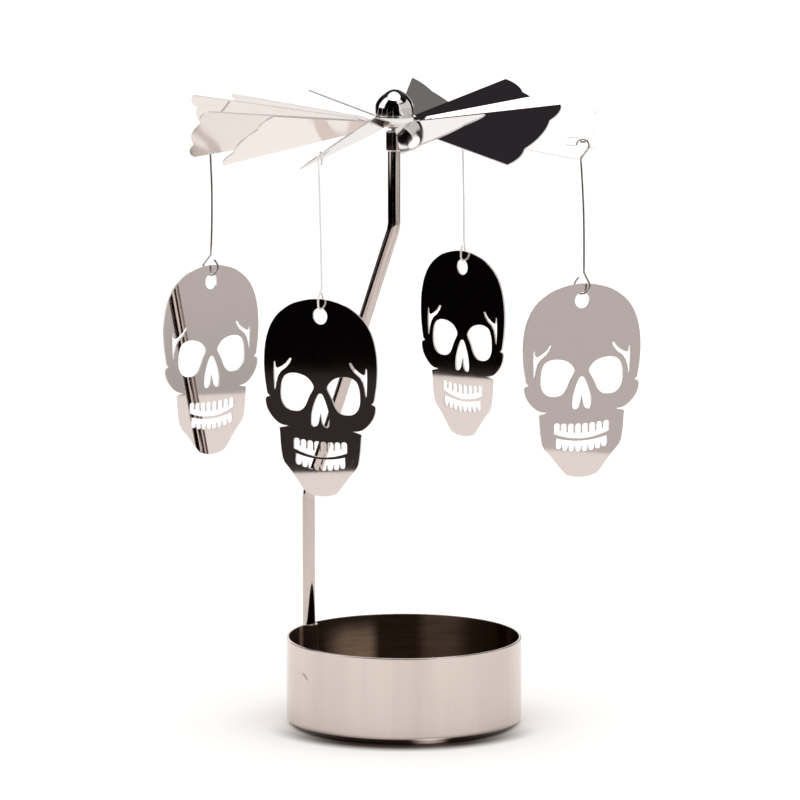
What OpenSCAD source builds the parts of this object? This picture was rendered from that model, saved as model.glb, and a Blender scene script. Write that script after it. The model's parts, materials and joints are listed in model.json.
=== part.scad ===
// Candle carousel: a cup for one tea light, a bent post, and a rotor of twisted blades that carries
// four skull cut-outs on wire hangers and turns on a needle point in the rising warm air.
// Millimetres, Z up. The origin is the middle of the cup's foot, on the table. -Y is the front.

/* [Cup] */
// outer diameter of the cup
cup_d = 60; // [45:0.5:80]
// height of the rim above the table
cup_h = 22.2; // [16:0.1:34]
// thickness of the cup's sheet
cup_wall = 0.7; // [0.4:0.05:1.2]
// rounding inside the bottom edge of the cup
corner_in = 0.4; // [0.2:0.05:2]
// distance from the rounded bottom edge to the foot bead
foot_inset = 0.3; // [0.1:0.05:4]
// width of the groove inside the foot bead
groove_w = 1; // [0.5:0.05:3]
// height of the foot bead, which lifts the floor off the table
foot_h = 1.2; // [0.6:0.05:3]
// rounding where the wall turns into the post's channel, on the inside
fillet_in = 1.1; // [0.5:0.05:2.5]
// height of the step that the post stands on, above the cup's floor
step_h = 0.8; // [0.3:0.05:3]
// diameter of the round pressed mark on the wall
mark_d = 8; // [2:0.1:9]
// depth of the round pressed mark
mark_depth = 0.12; // [0.06:0.02:0.38]
// distance from the rim down to the round pressed mark
mark_drop = 9.3; // [5:0.1:12]
// direction of the round pressed mark, in degrees from +X
mark_angle = 211; // [0:1:360]

/* [Post] */
// diameter of the post
post_d = 3.25; // [2:0.05:5]
// distance from the cup's outside to the middle of the post's foot
post_inset = 0.7; // [0.3:0.05:1.2]
// direction of the post's foot, in degrees from +X
post_angle = 146.8; // [0:0.1:360]
// clearance between the post and its channel, on the radius
post_gap = 0.05; // [0.02:0.01:0.1]
// height of the lower bend
bend_low_z = 56.3; // [42:0.1:75]
// length of the post's upright top end, from the upper bend to the sleeve
upright_l = 19.2; // [8:0.1:30]
// bending radius of both bends
bend_r = 8; // [5:0.1:20]
// distance from the cup's middle to the rotor's axis, towards the post's foot
axis_shift = 3; // [0:0.1:8]

/* [Sleeve and needle] */
// thickness of the sleeve's wall
sleeve_wall = 0.44; // [0.25:0.01:1]
// width of the flat ring on the sleeve's sloping ends
sleeve_lip = 0.08; // [0.04:0.01:0.2]
// length of the sleeve
sleeve_l = 5.3; // [4:0.1:10]
// air between the sleeve and the rotor
sleeve_clear = 0.6; // [0.4:0.05:4]
// distance from the sleeve's upper end down to the end of the post in it
needle_depth = 2.2; // [1:0.1:3]
// clearance of the post and the needle in the sleeve, on the radius
sleeve_gap = 0.02; // [0.01:0.01:0.05]
// diameter of the needle
needle_d = 1.4; // [1:0.05:2.5]
// length of the needle's point, which carries the rotor
needle_taper = 2.2; // [1:0.1:4]
// width of the flat on the needle's point
needle_flat = 0.2; // [0.1:0.05:0.3]

/* [Cap] */
// diameter of the acorn cap
cap_d = 9.8; // [8:0.1:16]
// height of the washer between the rotor and the cap
washer_h = 1.4; // [0.8:0.05:3]
// height of the cap's upright lower edge
cap_skirt_h = 2.5; // [0.8:0.05:4]
// height of the cap's dome
cap_dome_h = 4.6; // [3.4:0.1:10]
// how full the dome is: 2 is a ball, 1 is a cone
cap_fullness = 1.7; // [1.2:0.05:2]
// thickness of the cap over the needle's point
crown_t = 2.04; // [1.2:0.02:3]
// air between the needle and the cap's bore, on the radius
needle_play = 0.8; // [0.3:0.05:1]
// thickness of the wall of the cap's spigot, which goes through the rotor
spigot_wall = 1; // [0.4:0.05:1.3]
// height of the conical seat in the cap
seat_h = 1.16; // [0.6:0.02:2]
// gap between the needle's point and the seat's top
seat_gap = 0.06; // [0.02:0.01:0.2]
// width of the flat at the seat's top
seat_flat = 0.5; // [0.35:0.05:1]
// how far the spigot's rolled-over end stands out under the rotor
rivet_lip = 0.7; // [0.3:0.05:1.2]
// height of the spigot's rolled-over end, which narrows downwards
rivet_h = 1; // [0.2:0.05:1.5]
// thickness of that end at its lower edge
rivet_end_wall = 0.4; // [0.3:0.05:0.8]
// width of the step round the washer's top, under the cap
washer_step_w = 0.6; // [0.2:0.05:1]
// height of the step round the washer's top
washer_step_h = 0.25; // [0.1:0.05:0.6]

/* [Rotor] */
// height of the middle of the rotor's sheet
rotor_z = 153.4; // [125:0.1:190]
// thickness of the rotor's sheet
sheet_t = 0.4; // [0.2:0.05:0.8]
// width of the flat ring round the washer, up to where the blades start
hub_margin = 0.9; // [0.4:0.05:3]
// length over which the blades take their twist
neck_l = 3.4; // [2:0.1:8]
// radius of the rotor, at the crest of each blade's middle scallop
crest_r = 52.1; // [40:0.1:65]
// depth of the notches in a blade's tip
notch_depth = 1.5; // [0.8:0.05:3]
// how far the tip's corners lie inside the crest
corner_drop = 2.4; // [1:0.05:5]
// where the notches stand across the tip, as a share of half the blade's width there
notch_share = 0.475; // [0.3:0.005:0.6]
// share of the circle that the blades fill when they lie flat
blade_fill = 0.873; // [0.6:0.001:0.95]
// how far the small scallops stand out
small_crest = 1.2; // [0.5:0.05:2]
// number of blades
blade_count = 12; // [8:4:16]
// twist of the blades, in degrees
blade_pitch = 34.7; // [10:0.1:60]
// how much more than that each blade is twisted, in degrees; blades that carry a hanger keep to it
blade_trims = [0, -4, 0, -11, -3, 0, 0, 1, 0, -12, 1, 0];
// how far each blade is bent up from the level, in degrees; blades that carry a hanger are level
blade_lifts = [0, 1.5, 0, -1, -2, 0, -2, -1, 0, 3, 1, 0];
// direction of the first blade, in degrees from +X
blade_start = 14; // [0:1:30]
// diameter of the hanging hole in every third blade
blade_hole_d = 3.8; // [2.5:0.05:5]
// width of the strip of sheet between the hanging hole and the blade's tip
web_w = 1.26; // [0.8:0.02:1.8]
// where the hanging hole stands across the blade, as a share of half its width at the tip
hole_share = 0.45; // [0.3:0.005:0.46]

/* [Hangers] */
// thickness of the hanger wire
wire_d = 0.5; // [0.3:0.05:1]
// inner radius of the upper hook
top_hook_in = 1.35; // [1:0.05:2]
// distance from the upper hook's round part to the end of the straight wire
top_hook_neck = 1.6; // [1:0.05:3]
// inner radius of the lower hook
low_hook_in = 1.75; // [1.4:0.05:3]
// distance from the lower hook's round part to the end of the straight wire
low_hook_neck = 1.3; // [0.8:0.05:3]
// length of each hook's free end
hook_end = 1.1; // [0.5:0.1:1.6]
// distance between the middles of the two hooks
hanger_length = 35.2; // [20:0.1:60]
// clearance of the upper hook over the blade
hook_gap = 0.08; // [0.04:0.01:0.2]
// clearance of the skull's hole over the lower hook
skull_gap = 0.2; // [0.14:0.01:0.3]

/* [Skulls] */
// width of a skull
skull_w = 32.6; // [22:0.2:44]
// height of a skull
skull_h = 49; // [32:0.2:70]
// thickness of a skull
skull_t = 0.5; // [0.3:0.05:0.65]
// diameter of the skull's hanging hole
skull_hole_d = 4.1; // [3:0.05:6]
// height of the rim between the hanging hole and the skull's top
skull_rim = 2.2; // [1.2:0.05:2.8]
// turn of each skull about its hanger, in degrees from its blade: right, back, left, front
skull_turns = [40, 57.5, 60, 75];

/* [Hidden] */
// margin by which cutting tools run past what they cut
overrun = 0.5;
// overlap of pieces that are joined to one solid
joint_overlap = 0.05;
// how far the ball in each bend of a rod or wire stands out of it
seam = 0.01;
cup_r = cup_d / 2;
cup_corner = cup_wall + corner_in;
foot_r = cup_r - cup_corner - foot_inset;
foot_w = groove_w + 2 * cup_wall;
inner_floor = foot_h + cup_wall;
step_z = inner_floor + step_h;
mark_ball_r = (pow(mark_d / 2, 2) + pow(mark_depth, 2)) / (2 * mark_depth);
post_r = cup_r - post_inset;
channel_r = post_d / 2 + post_gap;
channel_fillet = cup_wall + fillet_in;
fillet_angle = acos((pow(post_r, 2) + pow(cup_r - channel_fillet, 2) - pow(channel_r + channel_fillet, 2))
    / (2 * post_r * (cup_r - channel_fillet)));
axis_x = axis_shift * cos(post_angle);
axis_y = axis_shift * sin(post_angle);
// heights of the rotor's sheet, and of the cap above it
sheet_top = rotor_z + sheet_t / 2;
sheet_low = rotor_z - sheet_t / 2;
cap_low = sheet_top + washer_h;
cap_shoulder = cap_low + cap_skirt_h;
cap_top = cap_shoulder + cap_dome_h;
cap_bore_d = needle_d + 2 * needle_play;
spigot_d = cap_bore_d + 2 * spigot_wall;
seat_top = cap_top - crown_t;
needle_tip = seat_top - seat_gap;
// the sleeve, and the post's bends below it
sleeve_d = post_d + 2 * (sleeve_gap + sleeve_wall);
sleeve_chamfer = sleeve_wall - sleeve_lip;
sleeve_high = sheet_low - rivet_h - sleeve_clear;
sleeve_low = sleeve_high - sleeve_l;
post_top = sleeve_high - needle_depth;
bend_high_z = sleeve_low - upright_l;
lean = atan((post_r - axis_shift) / (bend_high_z - bend_low_z));
bend_reach = bend_r * tan(lean / 2);
slant_length = norm([post_r - axis_shift, bend_high_z - bend_low_z]) - 2 * bend_reach;
// the blade's plan
hub_r = cap_d / 2 + hub_margin;
neck_r = hub_r + neck_l;
notch_r = crest_r - notch_depth;
corner_r = crest_r - corner_drop;
wedge_angle = blade_fill * 180 / blade_count;
corner_half = corner_r * tan(wedge_angle);
notch_half = notch_share * corner_half;
crest_circle_r = (pow(notch_half, 2) + pow(notch_depth, 2)) / (2 * notch_depth);
small_chord = norm([notch_r - corner_r, corner_half - notch_half]);
small_circle_r = (pow(small_chord / 2, 2) + pow(small_crest, 2)) / (2 * small_crest);
small_tilt = atan((notch_r - corner_r) / (corner_half - notch_half));
// the hanging hole, and the strip of sheet outside it that the upper hook rides on
blade_hole_side = hole_share * corner_half;
web_far = crest_r - crest_circle_r + sqrt(pow(crest_circle_r, 2) - pow(blade_hole_side, 2));
blade_hole_r = web_far - web_w - blade_hole_d / 2;
hook_reach = web_far - web_w / 2;
hook_side = blade_hole_side * cos(blade_pitch);
web_z = rotor_z - blade_hole_side * sin(blade_pitch);
top_hook_r = top_hook_in + wire_d / 2;
low_hook_r = low_hook_in + wire_d / 2;
top_hook_drop = top_hook_r + top_hook_neck;
low_hook_rise = low_hook_r + low_hook_neck;
top_hook_z = web_z + (sheet_t / 2 + wire_d / 2 + hook_gap) / cos(blade_pitch)
    - sqrt(pow(top_hook_r, 2) - pow(web_w / 2, 2));
low_hook_z = top_hook_z - hanger_length;
skull_hole_drop = skull_rim + skull_hole_d / 2;
skull_top = low_hook_z - low_hook_in + skull_gap + skull_rim;
top_hook_angle = acos(top_hook_r / top_hook_drop);
low_hook_angle = acos(low_hook_r / low_hook_rise);
blade_step = 360 / blade_count;
hanging_blades = [for (i = [0 : 3]) (i * blade_count / 4 + blade_count - 1) % blade_count];

// outline of one half of the skull: shares of half the width, and of the height from the top down
cranium_shares = [[0, 0], [0.19, 0.005], [0.41, 0.023], [0.55, 0.042], [0.725, 0.082], [0.835, 0.123],
    [0.905, 0.164], [0.95, 0.205], [0.978, 0.246], [0.994, 0.287], [1, 0.348], [0.988, 0.41],
    [0.97, 0.451], [0.945, 0.496]];
cheek_shares = [[0.9, 0.512], [0.96, 0.519], [0.972, 0.54], [0.945, 0.574], [0.89, 0.602],
    [0.84, 0.62], [0.77, 0.639], [0.7, 0.65], [0.64, 0.654], [0.575, 0.656]];
jaw_shares = [[0.727, 0.668], [0.715, 0.7], [0.708, 0.738], [0.694, 0.779], [0.672, 0.82], [0.634, 0.844],
    [0.58, 0.862], [0.523, 0.881], [0.468, 0.902], [0.418, 0.922], [0.366, 0.943], [0.32, 0.963],
    [0.25, 0.985], [0.13, 0.997], [0, 1]];
eye_shares = [[0.117, 0.452], [0.15, 0.426], [0.23, 0.402], [0.32, 0.39], [0.435, 0.384], [0.55, 0.388],
    [0.64, 0.404], [0.688, 0.438], [0.704, 0.48], [0.698, 0.52], [0.652, 0.551], [0.575, 0.57],
    [0.482, 0.576], [0.378, 0.574], [0.302, 0.56], [0.25, 0.537], [0.212, 0.508], [0.168, 0.482]];
nose_shares = [[0, 0.478], [0.038, 0.484], [0.082, 0.51], [0.124, 0.545], [0.154, 0.582], [0.163, 0.618],
    [0.155, 0.64], [0.122, 0.648], [0.07, 0.644], [0.034, 0.631], [0.018, 0.61], [0, 0.578]];
crack_shares = [[0.512, 0.315], [0.525, 0.31], [0.548, 0.312], [0.61, 0.338], [0.7, 0.358], [0.765, 0.367],
    [0.792, 0.36], [0.8, 0.338], [0.812, 0.332], [0.824, 0.338], [0.828, 0.38], [0.824, 0.43],
    [0.818, 0.472], [0.806, 0.478], [0.794, 0.47], [0.778, 0.436], [0.748, 0.405], [0.695, 0.38],
    [0.6, 0.358], [0.54, 0.334]];
// where the teeth stand across the skull, in shares of half its width
tooth_shares = [-0.42, -0.302, -0.182, -0.06, 0.06, 0.182, 0.302, 0.42];
tooth_w_share = 0.104;
tooth_round_share = 0.03;
upper_row_share = 0.472;
lower_row_share = 0.435;
upper_top_shares = [0.712, 0.722];
upper_low_shares = [0.768, 0.8];
lower_top_shares = [0.788, 0.8115];
lower_low_shares = [0.839, 0.868];
row_band_share = 0.028;

// a curve through the given points, with steps pieces between neighbours
function along(a, b, c, d, t) = 0.5 * ((2 * b) + (c - a) * t + (2 * a - 5 * b + 4 * c - d) * t * t
    + (3 * b - a - 3 * c + d) * t * t * t);
function smooth(points, steps) = [for (i = [0 : len(points) - 2]) for (s = [0 : steps - 1])
    along(points[max(i - 1, 0)], points[i], points[i + 1], points[min(i + 2, len(points) - 1)], s / steps),
    points[len(points) - 1]];
function smooth_loop(points, steps) = [for (i = [0 : len(points) - 1]) for (s = [0 : steps - 1])
    along(points[(i + len(points) - 1) % len(points)], points[i], points[(i + 1) % len(points)],
        points[(i + 2) % len(points)], s / steps)];
// the other half of an outline that starts and ends on the middle line
function mirrored(points) = [for (i = [len(points) - 2 : -1 : 1]) [-points[i][0], points[i][1]]];
function direction(angle) = [cos(angle), sin(angle)];

// half section of the cup's outside, r and z, with its rounded bottom edge
module cup_half(radius, floor_z, corner) {
    translate([0, floor_z]) square([radius - corner, cup_h - floor_z]);
    translate([0, floor_z + corner]) square([radius, cup_h - floor_z - corner]);
    translate([radius - corner, floor_z + corner]) circle(r = corner, $fn = 32);
}

// the cup's plan with the channel in it: wall radius, channel radius and fillet radius
module channel_plan(radius, channel, fillet, low, high) {
    centre_1 = (cup_r - channel_fillet) * direction(fillet_angle);
    centre_2 = (cup_r - channel_fillet) * direction(-fillet_angle);
    far = cup_r + overrun;
    difference() {
        union() {
            difference() {
                translate([0, 0, low]) cylinder(r = radius, h = high - low, $fn = 180);
                translate([0, 0, low - overrun]) linear_extrude(high - low + 2 * overrun)
                    polygon([[post_r, 0], centre_1, far * direction(fillet_angle),
                        far * direction(-fillet_angle), centre_2]);
            }
            for (centre = [centre_1, centre_2]) translate([centre[0], centre[1], low])
                cylinder(r = fillet, h = high - low, $fn = 48);
        }
        translate([post_r, 0, low - overrun]) cylinder(r = channel, h = high - low + 2 * overrun, $fn = 64);
    }
}

// the slice of the cup that holds the channel
module channel_slice(spread, low, high) {
    near = post_r - 3 * channel_r;
    far = cup_r + overrun;
    translate([0, 0, low]) linear_extrude(high - low)
        polygon([near * direction(spread), far * direction(spread), far * direction(-spread),
            near * direction(-spread)]);
}

module base_cup() {
    wide = fillet_angle + 1;
    color("#d8cbc4") difference() {
        rotate([0, 0, post_angle]) {
            difference() {
                rotate_extrude($fn = 180) difference() {
                    union() {
                        cup_half(cup_r, foot_h, cup_corner);
                        translate([foot_r - foot_w, 0]) square([foot_w, foot_h + cup_wall / 2]);
                    }
                    difference() {
                        translate([0, inner_floor]) square([cup_r - cup_wall, cup_h]);
                        difference() {
                            translate([cup_r - cup_corner, inner_floor]) square([cup_corner, corner_in]);
                            translate([cup_r - cup_corner, inner_floor + corner_in])
                                circle(r = corner_in, $fn = 32);
                        }
                    }
                    translate([foot_r - foot_w + cup_wall, cup_wall]) square([groove_w, inner_floor]);
                }
                channel_slice(fillet_angle, step_z, cup_h + overrun);
            }
            intersection() {
                channel_slice(wide, inner_floor - joint_overlap, cup_h);
                difference() {
                    channel_plan(cup_r, channel_r, channel_fillet, step_z - joint_overlap, cup_h);
                    channel_plan(cup_r - cup_wall, channel_r + cup_wall, fillet_in,
                        step_z - overrun, cup_h + overrun);
                }
            }
            // the step under the post's foot
            intersection() {
                channel_slice(wide, inner_floor - joint_overlap, step_z);
                rotate_extrude($fn = 180) cup_half(cup_r, foot_h, cup_corner);
                difference() {
                    translate([0, 0, foot_h]) cylinder(r = cup_r, h = step_z, $fn = 180);
                    channel_plan(cup_r - cup_wall, channel_r + cup_wall, fillet_in,
                        foot_h - overrun, step_z + overrun);
                }
            }
        }
        // the round pressed mark
        rotate([0, 0, mark_angle]) translate([cup_r - mark_depth + mark_ball_r, 0, cup_h - mark_drop])
            sphere(r = mark_ball_r, $fn = 96);
    }
}

module post_rod() {
    low_turn = [post_r - bend_r, 0, bend_low_z - bend_reach];
    high_turn = [axis_shift + bend_r, 0, bend_high_z + bend_reach];
    color("#b9aca6") rotate([0, 0, post_angle]) {
        for (place = [low_turn + [bend_r, 0, 0], low_turn + bend_r * [cos(lean), 0, sin(lean)],
            high_turn - bend_r * [cos(lean), 0, sin(lean)], high_turn - [bend_r, 0, 0]])
            translate(place) sphere(d = post_d + 2 * seam, $fn = 48);
        translate([post_r, 0, step_z]) cylinder(d = post_d, h = bend_low_z - bend_reach - step_z, $fn = 48);
        translate(low_turn) rotate([90, 0, 0])
            rotate_extrude(angle = lean, $fn = 120) translate([bend_r, 0]) circle(d = post_d, $fn = 48);
        translate(low_turn + bend_r * [cos(lean), 0, sin(lean)]) rotate([0, -lean, 0])
            cylinder(d = post_d, h = slant_length, $fn = 48);
        translate(high_turn) rotate([90, 0, 0]) rotate([0, 0, 180])
            rotate_extrude(angle = lean, $fn = 120) translate([bend_r, 0]) circle(d = post_d, $fn = 48);
        translate([axis_shift, 0, bend_high_z + bend_reach])
            cylinder(d = post_d, h = post_top - bend_high_z - bend_reach, $fn = 48);
    }
}

module post_sleeve() {
    needle_seat = post_top + post_gap;
    color("#a89c97") translate([axis_x, axis_y, 0]) difference() {
        union() {
            translate([0, 0, sleeve_low]) cylinder(d1 = sleeve_d - 2 * sleeve_chamfer, d2 = sleeve_d,
                h = sleeve_chamfer, $fn = 64);
            translate([0, 0, sleeve_low + sleeve_chamfer])
                cylinder(d = sleeve_d, h = sleeve_high - sleeve_low - 2 * sleeve_chamfer, $fn = 64);
            translate([0, 0, sleeve_high - sleeve_chamfer]) cylinder(d1 = sleeve_d,
                d2 = sleeve_d - 2 * sleeve_chamfer, h = sleeve_chamfer, $fn = 64);
        }
        translate([0, 0, sleeve_low - overrun])
            cylinder(r = post_d / 2 + sleeve_gap, h = needle_seat - sleeve_low + overrun, $fn = 64);
        translate([0, 0, sleeve_low])
            cylinder(r = needle_d / 2 + sleeve_gap, h = needle_tip - sleeve_low, $fn = 48);
    }
}

module pivot_needle() {
    color("#8f8a88") translate([axis_x, axis_y, 0]) {
        translate([0, 0, post_top + post_gap])
            cylinder(d = needle_d, h = needle_tip - needle_taper - post_top - post_gap, $fn = 48);
        translate([0, 0, needle_tip - needle_taper])
            cylinder(d1 = needle_d, d2 = needle_flat, h = needle_taper, $fn = 48);
    }
}

function cap_point(share) = [cap_d / 2 * pow(1 - pow(share, cap_fullness), 1 / cap_fullness),
    cap_shoulder + (cap_top - cap_shoulder) * share];

module dome_cap() {
    cap_steps = [0, 0.1, 0.2, 0.3, 0.4, 0.5, 0.6, 0.7, 0.78, 0.85, 0.91, 0.955, 0.985];
    color("#cfc8c6") translate([axis_x, axis_y, 0]) difference() {
        union() {
            rotate_extrude($fn = 72) polygon(concat([[0, cap_low], [cap_d / 2, cap_low]],
                [for (share = cap_steps) cap_point(share)], [[0, cap_top]]));
            translate([0, 0, sheet_low - joint_overlap])
                cylinder(d = spigot_d, h = cap_low - sheet_low + rivet_h + joint_overlap, $fn = 64);
            translate([0, 0, sheet_low - rivet_h])
                cylinder(d1 = cap_bore_d + 2 * rivet_end_wall, d2 = spigot_d + 2 * rivet_lip,
                    h = rivet_h, $fn = 64);
        }
        translate([0, 0, sheet_low - rivet_h - overrun])
            cylinder(d = cap_bore_d, h = seat_top - seat_h - sheet_low + rivet_h + overrun, $fn = 64);
        translate([0, 0, seat_top - seat_h - joint_overlap]) cylinder(d1 = cap_bore_d, d2 = seat_flat,
            h = seat_h + joint_overlap, $fn = 64);
    }
}

module hub_washer() {
    color("#e4deda") translate([axis_x, axis_y, 0]) difference() {
        union() {
            translate([0, 0, sheet_top]) cylinder(d = cap_d, h = washer_h - washer_step_h, $fn = 72);
            translate([0, 0, sheet_top]) cylinder(d = cap_d - 2 * washer_step_w, h = washer_h, $fn = 72);
        }
        translate([0, 0, sheet_top - overrun])
            cylinder(r = spigot_d / 2 + sleeve_gap, h = washer_h + 2 * overrun, $fn = 64);
    }
}

module scallop(centre, radius) {
    translate(centre) circle(r = radius, $fn = 96);
}

// plan of one blade, with its middle line on +X
module blade_plan() {
    small_out = small_circle_r - small_crest;
    middle_r = (notch_r + corner_r) / 2;
    middle_half = (notch_half + corner_half) / 2;
    near = neck_r - joint_overlap;
    far = crest_r + overrun;
    intersection() {
        polygon([[near, near * tan(wedge_angle)], [near, -near * tan(wedge_angle)],
            [far, -far * tan(wedge_angle)], [far, far * tan(wedge_angle)]]);
        union() {
            translate([neck_r - 2 * joint_overlap, -corner_half])
                square([corner_r - neck_r - small_crest, 2 * corner_half]);
            scallop([crest_r - crest_circle_r, 0], crest_circle_r);
            for (side = [-1, 1]) scallop([middle_r - small_out * cos(small_tilt),
                side * (middle_half - small_out * sin(small_tilt))], small_circle_r);
        }
    }
}

// what a list of small bends gives for a blade
function bend_of(bends, index) =
    len([for (other = hanging_blades) if (other == index) other]) > 0 ? 0 : bends[index % len(bends)];

module twisted_blade(pitch, lift) {
    start_w = 2 * hub_r * tan(wedge_angle);
    end_w = 2 * neck_r * tan(wedge_angle);
    translate([hub_r, 0, 0]) rotate([0, -lift, 0]) translate([-hub_r, 0, 0]) {
        translate([hub_r - joint_overlap, 0, 0]) rotate([0, 90, 0])
            linear_extrude(neck_r - hub_r + joint_overlap, twist = -pitch, slices = 8,
                scale = [1, end_w / start_w]) square([sheet_t, start_w], center = true);
        rotate([pitch, 0, 0]) linear_extrude(sheet_t, center = true) blade_plan();
    }
}

module rotor_blades() {
    color("#c9c2bf") translate([axis_x, axis_y, rotor_z]) difference() {
        union() {
            cylinder(r = hub_r, h = sheet_t, center = true, $fn = 96);
            for (i = [0 : blade_count - 1]) rotate([0, 0, blade_start + i * blade_step])
                twisted_blade(blade_pitch + bend_of(blade_trims, i), bend_of(blade_lifts, i));
        }
        cylinder(r = spigot_d / 2 + sleeve_gap, h = sheet_t + 2 * overrun, center = true, $fn = 64);
        for (i = hanging_blades) rotate([0, 0, blade_start + i * blade_step]) rotate([blade_pitch, 0, 0])
            translate([blade_hole_r, -blade_hole_side, 0])
                cylinder(d = blade_hole_d, h = sheet_t + 2 * overrun, center = true, $fn = 48);
    }
}

// one hook in the XZ plane round its middle, opening to -X, with its straight wire ending at height rise
module hook(radius, rise, angle) {
    tangent_length = sqrt(pow(rise, 2) - pow(radius, 2));
    for (place = [[0, 0, rise], [radius * sin(angle), 0, radius * cos(angle)],
        [-radius * sin(angle), 0, radius * cos(angle)]])
        translate(place) sphere(d = wire_d + 2 * seam, $fn = 16);
    // round the hook, from the side of the wire past the bottom to the free end
    rotate([90, 0, 0]) rotate([0, 0, 90 + angle]) rotate_extrude(angle = 360 - 2 * angle, $fn = 72)
        translate([radius, 0]) circle(d = wire_d, $fn = 16);
    translate([radius * sin(angle), 0, radius * cos(angle)]) rotate([0, angle - 90, 0])
        cylinder(d = wire_d, h = tangent_length, $fn = 16);
    translate([-radius * sin(angle), 0, radius * cos(angle)]) rotate([0, 90 - angle, 0])
        cylinder(d = wire_d, h = hook_end, $fn = 16);
}

// places something under a hanging hole, with X along that hole's blade
module under_blade(index) {
    translate([axis_x, axis_y, 0]) rotate([0, 0, blade_start + hanging_blades[index] * blade_step])
        translate([hook_reach, -hook_side, 0]) children();
}

module hanger(index) {
    color("#9a9390") under_blade(index) {
        translate([0, 0, top_hook_z]) mirror([0, 0, 1]) hook(top_hook_r, top_hook_drop, top_hook_angle);
        translate([0, 0, low_hook_z]) hook(low_hook_r, low_hook_rise, low_hook_angle);
        translate([0, 0, low_hook_z + low_hook_rise])
            cylinder(d = wire_d, h = hanger_length - low_hook_rise - top_hook_drop, $fn = 16);
    }
}

module hanger_right() { hanger(0); }
module hanger_back() { hanger(1); }
module hanger_left() { hanger(2); }
module hanger_front() { hanger(3); }

function skull_point(share) = [share[0] * skull_w / 2, -share[1] * skull_h];
function skull_points(shares) = [for (share = shares) skull_point(share)];

// height on the skull of a row's edge: shares at the row's ends and at its middle
function row_edge(edge_shares, across) = edge_shares[1]
    + (edge_shares[0] - edge_shares[1]) * pow(across / upper_row_share, 2);

// one row of teeth: end of the row, edge with the teeth's tips, and the edge along the bite
module tooth_row(row_share, tip_shares, bite_shares) {
    away = sign(tip_shares[1] - bite_shares[1]);
    for (middle = tooth_shares) {
        across = middle * row_share / upper_row_share;
        half = tooth_w_share / 2;
        tip = row_edge(tip_shares, across);
        bite = row_edge(bite_shares, across) + away * row_band_share / 2;
        round_x = tooth_round_share;
        round_z = away * tooth_round_share / 2;
        polygon(skull_points([[across - half, bite], [across - half, tip - round_z],
            [across - half + 0.3 * round_x, tip - 0.3 * round_z], [across - half + round_x, tip],
            [across + half - round_x, tip], [across + half - 0.3 * round_x, tip - 0.3 * round_z],
            [across + half, tip - round_z], [across + half, bite]]));
    }
    band_steps = [-1, -0.75, -0.5, -0.25, 0, 0.25, 0.5, 0.75, 1];
    polygon(skull_points(concat(
        [for (s = band_steps) [s * row_share, row_edge(bite_shares, s * row_share)]],
        [for (s = [8 : -1 : 0]) [band_steps[s] * row_share,
            row_edge(bite_shares, band_steps[s] * row_share) + away * row_band_share]])));
}

module skull_plan() {
    right_half = concat(smooth(cranium_shares, 2), smooth(cheek_shares, 2), smooth(jaw_shares, 1));
    difference() {
        polygon(skull_points(concat(right_half, mirrored(right_half))));
        for (side = [-1, 1]) scale([side, 1]) {
            polygon(skull_points(smooth_loop(eye_shares, 2)));
            polygon(skull_points(crack_shares));
        }
        polygon(skull_points(concat(smooth(nose_shares, 2), mirrored(smooth(nose_shares, 2)))));
        tooth_row(upper_row_share, upper_top_shares, upper_low_shares);
        tooth_row(lower_row_share, lower_low_shares, lower_top_shares);
    }
}

module skull(index) {
    color("#b7aaa4") under_blade(index) translate([0, 0, skull_top]) rotate([90, 0, skull_turns[index]])
        difference() {
            linear_extrude(skull_t, center = true) skull_plan();
            translate([0, -skull_hole_drop, 0])
                cylinder(d = skull_hole_d, h = skull_t + 2 * overrun, center = true, $fn = 48);
        }
}

module skull_right() { skull(0); }
module skull_back() { skull(1); }
module skull_left() { skull(2); }
module skull_front() { skull(3); }

base_cup();
post_rod();
post_sleeve();
pivot_needle();
hub_washer();
dome_cap();
rotor_blades();
hanger_right();
hanger_back();
hanger_left();
hanger_front();
skull_right();
skull_back();
skull_left();
skull_front();
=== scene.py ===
# Candle carousel: cup, bent post, bladed rotor and four hanging skulls. Metres, Z up, the front is -Y.
import json
import math

import bmesh
import bpy
from mathutils import Matrix, Vector


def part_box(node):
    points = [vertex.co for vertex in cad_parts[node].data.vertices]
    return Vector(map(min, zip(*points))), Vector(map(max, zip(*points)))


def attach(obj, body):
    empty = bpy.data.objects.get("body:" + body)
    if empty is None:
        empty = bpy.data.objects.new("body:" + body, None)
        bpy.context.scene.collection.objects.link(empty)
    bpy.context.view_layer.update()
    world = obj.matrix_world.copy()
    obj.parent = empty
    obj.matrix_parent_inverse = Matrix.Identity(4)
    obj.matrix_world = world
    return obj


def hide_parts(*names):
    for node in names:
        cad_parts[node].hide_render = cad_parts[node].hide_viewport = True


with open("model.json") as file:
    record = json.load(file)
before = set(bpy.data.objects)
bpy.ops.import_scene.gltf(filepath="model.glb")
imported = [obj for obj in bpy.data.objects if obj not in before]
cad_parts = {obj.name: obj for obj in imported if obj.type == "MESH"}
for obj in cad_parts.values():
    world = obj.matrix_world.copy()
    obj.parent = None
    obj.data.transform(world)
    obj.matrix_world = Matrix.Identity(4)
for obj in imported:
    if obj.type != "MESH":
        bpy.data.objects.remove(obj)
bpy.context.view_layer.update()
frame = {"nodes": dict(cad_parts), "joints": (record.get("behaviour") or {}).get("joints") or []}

mm = 0.001
scene = bpy.context.scene
up = Vector((0, 0, 1))
jointPlace = {joint["name"]: Vector(joint["pos_m"]) for joint in frame["joints"]}
jointAxis = {joint["name"]: Vector(joint["axis"]) for joint in frame["joints"]}
rotorAxis = Vector((jointPlace["rotor_spin"].x, jointPlace["rotor_spin"].y, 0))
sides = ["right", "back", "left", "front"]
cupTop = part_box("base_cup")[1]
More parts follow.
